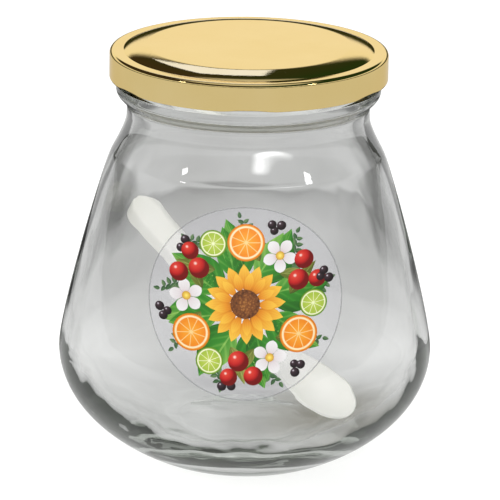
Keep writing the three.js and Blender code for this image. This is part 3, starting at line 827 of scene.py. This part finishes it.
def side_place(up):
    reach = label_middle + up
    i = max(j for j in range(len(label_run) - 1) if label_run[j] <= reach)
    share = (reach - label_run[i]) / (label_run[i + 1] - label_run[i])
    ways = [(label_side[j + 1] - label_side[j - 1]).normalized() for j in (i, i + 1)]
    return label_side[i].lerp(label_side[i + 1], share), ways[0].lerp(ways[1], share).normalized()


def lay_on_glass(piece, off):
    for vertex in piece.data.vertices:
        across, up, lift = vertex.co / MM
        point, way = side_place(up)
        angle = math.asin(across / point.x)
        radius = point.x + way.y * (off + lift)
        height = point.y - way.x * (off + lift)
        vertex.co = Vector((radius * math.sin(angle), -radius * math.cos(angle), height)) * MM


def thicken(piece, thickness):
    modifier = piece.modifiers.new("thickness", "SOLIDIFY")
    modifier.thickness = thickness * MM
    modifier.offset = 1
    bpy.context.view_layer.objects.active = piece
    bpy.ops.object.modifier_apply(modifier=modifier.name)


print("label's middle stands", round(side_place(0)[0].y, 1), "mm above the table")

# %% Label film
LABEL_RADIUS = 29.0
FILM_OFF = 0.06
FILM_THICKNESS = 0.08
FILM_RINGS = 26
# the rim's grey colour and its extra alpha are painted shade, the shade that the film's cut edge catches
FILM_COLOUR, PAINTED_RIM_SHADE = (0.66, 0.64, 0.72), (0.30, 0.31, 0.32)
RIM_FROM = 0.988
FILM_ALPHA, PAINTED_RIM_SHADE_ALPHA = 0.10, 0.28
FILM_ROUGHNESS = 0.12

film = spin_piece("label_clear_film", straight((0, 0), (LABEL_RADIUS, 0), FILM_RINGS))
rim_share = film.data.attributes.new("rim_share", "FLOAT", "POINT")
for vertex, value in zip(film.data.vertices, rim_share.data):
    value.value = vertex.co.length / (LABEL_RADIUS * MM)
if film.data.polygons[0].normal.z < 0:
    film.data.flip_normals()
lay_on_glass(film, FILM_OFF)
thicken(film, FILM_THICKNESS)
smooth(film)
film.visible_shadow = False
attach(film, "jar")
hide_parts("label_film")

label_film, tree, shader, output = new_material("label_film")
rim_near = add_node(tree, "ShaderNodeAttribute")
rim_near.attribute_name = "rim_share"
# a thin band at the rim is painted shade: grey and a little more opaque, for the shade the cut edge catches
painted_rim_shade = calc(tree, "GREATER_THAN", rim_near.outputs["Fac"], RIM_FROM)
tree.links.new(ramp(tree, painted_rim_shade, [(0.0, FILM_COLOUR), (1.0, PAINTED_RIM_SHADE)]), shader.inputs["Base Color"])
tree.links.new(calc(tree, "MULTIPLY_ADD", painted_rim_shade, PAINTED_RIM_SHADE_ALPHA, FILM_ALPHA), shader.inputs["Alpha"])
shader.inputs["Roughness"].default_value = FILM_ROUGHNESS
dress(film, label_film)

# %% [markdown]
# The film carries a print: a wreath of leaves, fruit slices, blossoms, cherries and berries round one
# golden flower. Ink has no real thickness, but a painted picture would need an image, so each motif is
# modelled once as a flat sheet and stamped: copied with its own mesh, turned, sized and moved to its
# place. Every point keeps its spot within its motif as an attribute, and the inks paint veins, segments
# and highlights from that.

# %% Helpers for flat motifs
PRINT_THICKNESS = 0.02
LAYER_RISE = 0.03
PRINT_OFF = {  # how far each layer lies off the glass
    "print_sprigs": 0.15,
    "print_leaves": 0.21,
    "print_olive_leaves": 0.27,
    "print_oranges": 0.33,
    "print_flower": 0.34,
    "print_blossoms": 0.35,
    "print_cherries": 0.36,
    "print_berries": 0.36,
    "print_limes": 0.39,
    "print_blossom_eyes": 0.41,
    "print_flower_heart": 0.42,
}
DISC_CORNERS = 28
DISC_RINGS = 4
GOLDEN_SHARE = 0.618


def leaf_motif(name, length, width, columns, rows, bend=0.0, fullest=0.75, blunt=1.0):
    bpy.ops.object.select_all(action="DESELECT")
    bpy.ops.mesh.primitive_grid_add(x_subdivisions=columns, y_subdivisions=rows, size=2)
    motif = bpy.context.object
    motif.name = name
    spots = motif.data.attributes.new("spot", "FLOAT_VECTOR", "POINT")
    for vertex, spot in zip(motif.data.vertices, spots.data):
        along, across = (vertex.co.x + 1) / 2, vertex.co.y
        spot.vector = (along, across, 0)
        half = width / 2 * max(0.0, math.sin(math.pi * along**fullest)) ** blunt
        vertex.co = Vector((length * along, half * across + bend * along**2, 0)) * MM
    bpy.ops.object.mode_set(mode="EDIT")
    bpy.ops.mesh.select_all(action="SELECT")
    bpy.ops.mesh.remove_doubles(threshold=MERGE_DISTANCE)
    bpy.ops.object.mode_set(mode="OBJECT")
    return motif


def disc_motif(name, radius):
    bpy.ops.object.select_all(action="DESELECT")
    bpy.ops.mesh.primitive_circle_add(vertices=DISC_CORNERS, radius=radius * MM, fill_type="NGON")
    motif = bpy.context.object
    motif.name = name
    bpy.ops.object.mode_set(mode="EDIT")
    bpy.ops.mesh.select_all(action="SELECT")
    for _ in range(DISC_RINGS - 1):
        bpy.ops.mesh.inset(thickness=radius * MM / DISC_RINGS)
    bpy.ops.mesh.poke()
    bpy.ops.object.mode_set(mode="OBJECT")
    spots = motif.data.attributes.new("spot", "FLOAT_VECTOR", "POINT")
    for vertex, spot in zip(motif.data.vertices, spots.data):
        spot.vector = (vertex.co.x / (radius * MM), vertex.co.y / (radius * MM), 0)
    return motif


def stamp(motif, name, places):
    copies = []
    for i, (reach, angle, turn, size) in enumerate(places):
        copy = motif.copy()
        copy.data = motif.data.copy()
        bpy.context.collection.objects.link(copy)
        shade = i * GOLDEN_SHARE % 1
        for spot in copy.data.attributes["spot"].data:
            spot.vector = (spot.vector.x, spot.vector.y, shade)
        way = math.radians(angle)
        place = Vector((reach * math.cos(way), reach * math.sin(way), LAYER_RISE * i / len(places))) * MM
        turned = Matrix.Rotation(math.radians(turn), 4, "Z") @ Matrix.Scale(size, 4)
        copy.data.transform(Matrix.Translation(place) @ turned)
        copies.append(copy)
    bpy.data.objects.remove(motif)
    bpy.ops.object.select_all(action="DESELECT")
    for copy in copies:
        copy.select_set(True)
    bpy.context.view_layer.objects.active = copies[0]
    bpy.ops.object.join()
    layer = bpy.context.object
    layer.name = name
    lay_on_glass(layer, PRINT_OFF[name])
    thicken(layer, PRINT_THICKNESS)
    smooth(layer, 60)
    layer.visible_shadow = False
    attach(layer, "jar")
    return layer


# %% [markdown]
# Inks are plain Principled materials with a slight gloss. What differs is the paint, so one helper reads
# the spot and another gives a layer its ink. Leaves have a lighter half, a pale midrib and slanting
# veins; round fruit has a highlight towards the upper left and a dark rim, both from the distance to one
# point.

# %% Helpers for inks
INK_ROUGHNESS = 0.35
LEAF_TONE = 0.22
LEAF_WEIGHTS = (0.20, 0.34, 0.16, 0.16, 0.30)  # of a leaf's half, own shade, veins, tip and rib
VEIN_SLANT, VEIN_SHARPNESS, RIB_WIDTH = -4.5, 6.0, 0.07


def spot_parts(tree):
    node = add_node(tree, "ShaderNodeAttribute")
    node.attribute_name = "spot"
    return add_node(tree, "ShaderNodeSeparateXYZ", Vector=node.outputs["Vector"]).outputs


def from_point(tree, spot, x, y):
    across = calc(tree, "ADD", spot["X"], -x)
    up = calc(tree, "ADD", spot["Y"], -y)
    return calc(tree, "SQRT", calc(tree, "MULTIPLY_ADD", up, up, calc(tree, "MULTIPLY", across, across)))


def give_ink(layer, name, paint):
    material, tree, shader, output = new_material(name)
    tree.links.new(paint(tree, spot_parts(tree)), shader.inputs["Base Color"])
    shader.inputs["Roughness"].default_value = INK_ROUGHNESS
    dress(layer, material)
    print(layer.name, "printed in", name)


def leaf_paint(dark, middle, light, veins=15.0):
    def paint(tree, spot):
        off_rib = calc(tree, "ABSOLUTE", spot["Y"])
        slant = calc(tree, "MULTIPLY_ADD", off_rib, VEIN_SLANT, calc(tree, "MULTIPLY", spot["X"], veins))
        vein = calc(tree, "POWER", calc(tree, "ABSOLUTE", calc(tree, "SINE", slant)), VEIN_SHARPNESS)
        rib = calc(tree, "LESS_THAN", off_rib, RIB_WIDTH)
        tone = LEAF_TONE
        for value, weight in zip((spot["Y"], spot["Z"], vein, spot["X"], rib), LEAF_WEIGHTS):
            tone = calc(tree, "MULTIPLY_ADD", value, weight, tone)
        return ramp(tree, tone, [(0.0, dark), (0.5, middle), (1.0, light)])

    return paint


def fruit_paint(stops, x=-0.35, y=0.40):
    return lambda tree, spot: ramp(tree, from_point(tree, spot, x, y), stops)


# %% [markdown]
# The leaves come first, because everything else lies on them: sprigs of small round leaves at the
# outside, then broad green leaves and narrow olive ones in two rings. A ring is a loop over angles, with
# every other leaf swung to the other side so that it looks grown rather than stencilled.

# %% Sprigs and leaves
SPRIGS, LEAFLETS = 9, 6
SPRIG_FROM, SPRIG_STEP, SPRIG_CURL = 17.0, 1.45, 2.4
LEAFLET_SWINGS, LEAFLET_SHRINK = (62, -52), 0.08
END_SWING, END_SIZE = 20, 0.6
GREEN = ((0.008, 0.070, 0.006), (0.036, 0.240, 0.020), (0.260, 0.500, 0.100))
OLIVE = ((0.045, 0.065, 0.008), (0.140, 0.175, 0.025), (0.360, 0.390, 0.100))
SPRIG = ((0.012, 0.045, 0.016), (0.045, 0.120, 0.045), (0.200, 0.300, 0.140))


def leaf_ring(reach, count, first, swings, sizes):
    step = 360 / count
    return [(reach, first + step * i, step * i + swings[i % 2], sizes[i % 2]) for i in range(count)]


places = []
for sprig in range(SPRIGS):
    first = 360 / SPRIGS * sprig
    for i in range(LEAFLETS):
        reach = SPRIG_FROM + SPRIG_STEP * i
        angle = first + SPRIG_CURL * i
        places += [(reach, angle, angle + swing, 1.0 - LEAFLET_SHRINK * i) for swing in LEAFLET_SWINGS]
    end = SPRIG_FROM + SPRIG_STEP * LEAFLETS
    places.append((end, first + SPRIG_CURL * LEAFLETS, first + END_SWING, END_SIZE))
leaflet = leaf_motif("round_leaflet", length=3.4, width=2.0, columns=8, rows=4, blunt=0.8)
sprigs = stamp(leaflet, "print_sprigs", places)
give_ink(sprigs, "sprig_ink", leaf_paint(*SPRIG, veins=6.0))

broad_leaf = leaf_motif("broad_leaf", length=16.5, width=8.6, columns=16, rows=6, bend=1.2)
places = leaf_ring(reach=8.5, count=16, first=0, swings=(16, -12), sizes=(1.08, 0.94))
leaves = stamp(broad_leaf, "print_leaves", places)
give_ink(leaves, "leaf_ink", leaf_paint(*GREEN))

narrow_leaf = leaf_motif("narrow_leaf", length=12.0, width=4.2, columns=14, rows=4, bend=-1.5)
places = leaf_ring(reach=13.5, count=12, first=12, swings=(58, -30), sizes=(1.0, 0.84))
olive = stamp(narrow_leaf, "print_olive_leaves", places)
give_ink(olive, "olive_ink", leaf_paint(*OLIVE, veins=11.0))

# %% [markdown]
# Fruit is stamped from discs. A disc starts as a filled circle, which is inset ring by ring, so that it
# has points inside and can bend with the glass. A fruit slice needs its angle for the segments; a cherry
# or a berry needs only the distance to its highlight.

# %% Fruit slices, cherries and berries
SLICE_SEGMENTS = 9
SKIN_WIDTH, FLESH_SHARE = 0.09, 0.82
ORANGE_SKIN, LIME_SKIN = (0.90, 0.62, 0.26), (0.84, 0.88, 0.56)
REPEATS = 3  # the wreath repeats three times round
CHERRIES = [(17.2, 24, 1.0), (21.6, 37, 0.92), (22.4, 18, 0.84)]  # reach, angle and size within a bunch
BERRIES = [(25.6, 0, 1.0), (23.4, 3.2, 0.9), (24.9, 6.2, 0.95)]
BERRY_STARTS = (66, 75)
SLICE_STOPS = [
    (0.00, (0.95, 0.72, 0.36)),
    (0.10, (0.92, 0.38, 0.03)),
    (0.76, (0.84, 0.24, 0.01)),
    (0.80, (0.94, 0.78, 0.50)),
    (0.86, (0.94, 0.76, 0.46)),
    (0.90, (0.84, 0.28, 0.01)),
    (1.00, (0.60, 0.13, 0.00)),
]
CHERRY_STOPS = [
    (0.02, (0.95, 0.70, 0.64)),
    (0.20, (0.70, 0.05, 0.03)),
    (0.70, (0.50, 0.01, 0.01)),
    (1.00, (0.16, 0.00, 0.00)),
]
BERRY_STOPS = [(0.02, (0.72, 0.66, 0.74)), (0.25, (0.050, 0.026, 0.036)), (1.0, (0.012, 0.006, 0.008))]
LIME_STOPS = [
    (0.00, (0.90, 0.92, 0.62)),
    (0.10, (0.52, 0.62, 0.10)),
    (0.76, (0.36, 0.50, 0.05)),
    (0.80, (0.86, 0.88, 0.60)),
    (0.86, (0.84, 0.86, 0.56)),
    (0.90, (0.20, 0.36, 0.02)),
    (1.00, (0.08, 0.20, 0.01)),
]


def slice_paint(stops, skin_colour):
    def paint(tree, spot):
        radius = from_point(tree, spot, 0, 0)
        angle = calc(tree, "ARCTAN2", spot["Y"], spot["X"])
        wave = calc(tree, "ABSOLUTE", calc(tree, "SINE", calc(tree, "MULTIPLY", angle, SLICE_SEGMENTS / 2)))
        skin = calc(tree, "LESS_THAN", calc(tree, "MULTIPLY", wave, radius), SKIN_WIDTH)
        inside = calc(tree, "LESS_THAN", radius, FLESH_SHARE)
        return blend(tree, calc(tree, "MULTIPLY", skin, inside), ramp(tree, radius, stops), skin_colour)

    return paint


def round_wreath(reach, first, swing):
    return [(reach, first + 360 // REPEATS * i, swing * i, 1) for i in range(REPEATS)]


places = round_wreath(reach=18.4, first=90, swing=25)
oranges = stamp(disc_motif("orange_slice", radius=5.6), "print_oranges", places)
give_ink(oranges, "orange_ink", slice_paint(SLICE_STOPS, ORANGE_SKIN))

places = round_wreath(reach=20.2, first=119, swing=25)
limes = stamp(disc_motif("lime_slice", radius=4.1), "print_limes", places)
give_ink(limes, "lime_ink", slice_paint(LIME_STOPS, LIME_SKIN))

places = []
for i in range(REPEATS):
    places += [(reach, angle + 360 // REPEATS * i, 0, size) for reach, angle, size in CHERRIES]
cherries = stamp(disc_motif("cherry", radius=3.1), "print_cherries", places)
give_ink(cherries, "cherry_ink", fruit_paint(CHERRY_STOPS))

places = []
for i in range(2 * REPEATS):
    first = 180 // REPEATS * i + BERRY_STARTS[i % 2]
    places += [(reach, first + angle, 0, size) for reach, angle, size in BERRIES]
berries = stamp(disc_motif("dark_berry", radius=1.4), "print_berries", places)
give_ink(berries, "berry_ink", fruit_paint(BERRY_STOPS))

# %% [markdown]
# Flowers are rings of petals, and a petal is a leaf with its fullest place further out. The white
# blossoms sit between the fruit; the golden flower fills the middle with two rings of petals and a heart
# of seeds, which a Voronoi texture dots.

# %% Blossoms and the golden flower
PETAL_STRIPES, STRIPE_WEIGHT, SHADE_WEIGHT = 7.0, 0.10, 0.12
SEED_SCALE, SEED_SHARE = 1500.0, 0.65
SEED_STOPS = [(0.1, (0.50, 0.22, 0.05)), (0.45, (0.22, 0.07, 0.015)), (0.9, (0.05, 0.015, 0.005))]
EYE_STOPS = [(0.1, (0.95, 0.75, 0.15)), (1.0, (0.60, 0.30, 0.02))]
BLOSSOM_PETALS, PETAL_START = 5, 0.6
WHITE_STOPS = [(0.05, (0.60, 0.40, 0.44)), (0.40, (0.74, 0.68, 0.70)), (1.0, (0.82, 0.80, 0.81))]
GOLDEN_STOPS = [(0.10, (0.36, 0.08, 0.00)), (0.45, (0.72, 0.25, 0.01)), (1.1, (0.86, 0.50, 0.05))]


def petal_paint(stops):
    def paint(tree, spot):
        stripe = calc(tree, "ABSOLUTE", calc(tree, "SINE", calc(tree, "MULTIPLY", spot["Y"], PETAL_STRIPES)))
        tone = calc(tree, "MULTIPLY_ADD", stripe, STRIPE_WEIGHT, spot["X"])
        tone = calc(tree, "MULTIPLY_ADD", spot["Z"], SHADE_WEIGHT, tone)
        return ramp(tree, tone, stops)

    return paint


def seed_paint(tree, spot):
    seeds = add_node(tree, "ShaderNodeTexVoronoi", Vector=object_place(tree), Scale=SEED_SCALE)
    outward = calc(tree, "MULTIPLY", from_point(tree, spot, 0, 0), 1 - SEED_SHARE)
    tone = calc(tree, "MULTIPLY_ADD", seeds.outputs["Distance"], SEED_SHARE, outward)
    return ramp(tree, tone, SEED_STOPS)


blossoms = round_wreath(reach=17.6, first=55, swing=0)
places = []
for reach, angle, _, _ in blossoms:
    middle = Vector((reach * math.cos(math.radians(angle)), reach * math.sin(math.radians(angle))))
    for i in range(BLOSSOM_PETALS):
        turn = angle + 360 // BLOSSOM_PETALS * i
        start = middle + PETAL_START * Vector((math.cos(math.radians(turn)), math.sin(math.radians(turn))))
        places.append((start.length, math.degrees(math.atan2(start.y, start.x)), turn, 1))
petal = leaf_motif("blossom_petal", length=4.6, width=3.5, columns=12, rows=6, fullest=1.25, blunt=0.6)
petals = stamp(petal, "print_blossoms", places)
give_ink(petals, "blossom_ink", petal_paint(WHITE_STOPS))
eyes = stamp(disc_motif("blossom_eye", radius=1.3), "print_blossom_eyes", blossoms)
give_ink(eyes, "eye_ink", fruit_paint(EYE_STOPS, 0, 0))

places = leaf_ring(reach=3.4, count=16, first=0, swings=(4, 4), sizes=(1.0, 1.0))
places += leaf_ring(reach=2.9, count=13, first=0, swings=(-4, -4), sizes=(0.78, 0.78))
golden_petal = leaf_motif("golden_petal", length=8.6, width=3.6, columns=10, rows=4, fullest=1.2)
flower = stamp(golden_petal, "print_flower", places)
give_ink(flower, "golden_ink", petal_paint(GOLDEN_STOPS))
heart = stamp(disc_motif("flower_heart", radius=4.4), "print_flower_heart", [(0, 0, 0, 1)])
give_ink(heart, "seed_ink", seed_paint)

# %% [markdown]
# The spoon is one moulding of white plastic, with a shallow bowl and a broad handle whose edges turn
# down. It starts as a flat grid. Each row of points is drawn in to the spoon's width at that place and
# raised or lowered to its section; Solidify then gives the sheet its thickness and Bevel rounds its
# edges.

# %% Shape of the spoon
SPOON_LENGTH = 102.0
SPOON_SHEET = 1.2
BOWL_LENGTH, BOWL_WIDTH, BOWL_DEPTH = 34.0, 16.2, 3.6
BOWL_WIDEST = 0.46 * BOWL_LENGTH
WAIST_WIDTH, HANDLE_WIDTH = 9.0, 11.2
HANDLE_EDGE, HANDLE_FLAT, HANDLE_BEND = 2.8, 0.58, 1.2
SPOON_ROWS, SPOON_COLUMNS = 120, 28
SPOON_BLUNT = 0.012


def spoon_half_width(x):
    bowl, waist, handle = BOWL_WIDTH / 2, WAIST_WIDTH / 2, HANDLE_WIDTH / 2
    if x < BOWL_WIDEST:
        return bowl * math.sqrt(1 - (1 - x / BOWL_WIDEST) ** 2)
    if x < BOWL_LENGTH:
        return bowl + (waist - bowl) * ease((x - BOWL_WIDEST) / (BOWL_LENGTH - BOWL_WIDEST))
    end = SPOON_LENGTH - handle
    if x < end:
        return waist + (handle - waist) * ease((x - BOWL_LENGTH) / (end - BOWL_LENGTH))
    return handle * math.sqrt(max(0, 1 - ((x - end) / handle) ** 2))


def spoon_height(x, across):
    if x < BOWL_LENGTH:
        return -BOWL_DEPTH * math.sin(math.pi * x / BOWL_LENGTH) * (1 - across**2)
    turned = max(0, (abs(across) - HANDLE_FLAT) / (1 - HANDLE_FLAT))
    return -HANDLE_EDGE * ease((x - BOWL_LENGTH) / BOWL_LENGTH) * turned**HANDLE_BEND


bpy.ops.object.select_all(action="DESELECT")
bpy.ops.mesh.primitive_grid_add(x_subdivisions=SPOON_ROWS, y_subdivisions=SPOON_COLUMNS, size=2)
spoon = bpy.context.object
spoon.name = "spoon_white"
for vertex in spoon.data.vertices:
    share = SPOON_BLUNT + (1 - 2 * SPOON_BLUNT) * (vertex.co.x + 1) / 2
    x = SPOON_LENGTH * (1 - math.cos(math.pi * share)) / 2
    across = vertex.co.y
    vertex.co = Vector((x, spoon_half_width(x) * across, spoon_height(x, across))) * MM
print("spoon", round(max(v.co.x for v in spoon.data.vertices) / MM, 1), "mm long")

# %% [markdown]
# The spoon lies in the jar with the tip of its bowl low on the right, its handle up against the glass on
# the left, and its face rolled towards the front. The frame's hinge marks the tip, so the place comes
# from there.

# %% Thickness, round edges and place of the spoon
SPOON_ROLL = math.radians(-34)
SPOON_TILT = math.radians(-35.30)
SPOON_ROUND = 0.4
SHARP_FROM = math.radians(50)

thickness = spoon.modifiers.new("thickness", "SOLIDIFY")
thickness.thickness = SPOON_SHEET * MM
thickness.offset = 0
rounding = spoon.modifiers.new("rounding", "BEVEL")
rounding.width = SPOON_ROUND * MM
rounding.segments = 3
rounding.limit_method = "ANGLE"
rounding.angle_limit = SHARP_FROM
bpy.context.view_layer.objects.active = spoon
for modifier in (thickness, rounding):
    bpy.ops.object.modifier_apply(modifier=modifier.name)

hinge = next(joint for joint in frame["joints"] if joint["name"] == "spoon_tilt")
axis = Vector(hinge["axis"])
turn = math.atan2(axis.y, axis.x) + math.pi / 2
turned = Matrix.Rotation(turn, 4, "Z")
lie = turned @ Matrix.Rotation(SPOON_TILT, 4, "Y") @ Matrix.Rotation(SPOON_ROLL, 4, "X")
tip = lie @ Vector((0, 0, SPOON_SHEET / 2 * MM))
spoon.data.transform(Matrix.Translation(Vector(hinge["pos_m"]) - tip) @ lie)
smooth(spoon, 40)
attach(spoon, "spoon")
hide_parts("spoon")
print("spoon turned", round(math.degrees(turn), 1), "degrees about the upright")

# %% Spoon plastic
SPOON_DEEP, SPOON_LIGHT = (0.92, 0.91, 0.87), (0.96, 0.95, 0.92)
SPOON_CLOUD, SPOON_ROUGHNESS = (70, 3.0), (0.28, 0.12)
SPOON_SPECKLE, SPOON_BUMP = (1200, 2.0), (0.05, 0.0001)

spoon_plastic, tree, shader, output = new_material("spoon_plastic")
cloud = noise(tree, *SPOON_CLOUD)
paint_cloud(tree, shader, cloud, SPOON_DEEP, SPOON_LIGHT)
roughen(tree, shader, cloud, *SPOON_ROUGHNESS)
bump(tree, shader, noise(tree, *SPOON_SPECKLE), *SPOON_BUMP)
dress(spoon, spoon_plastic)
print("spoon in white plastic")
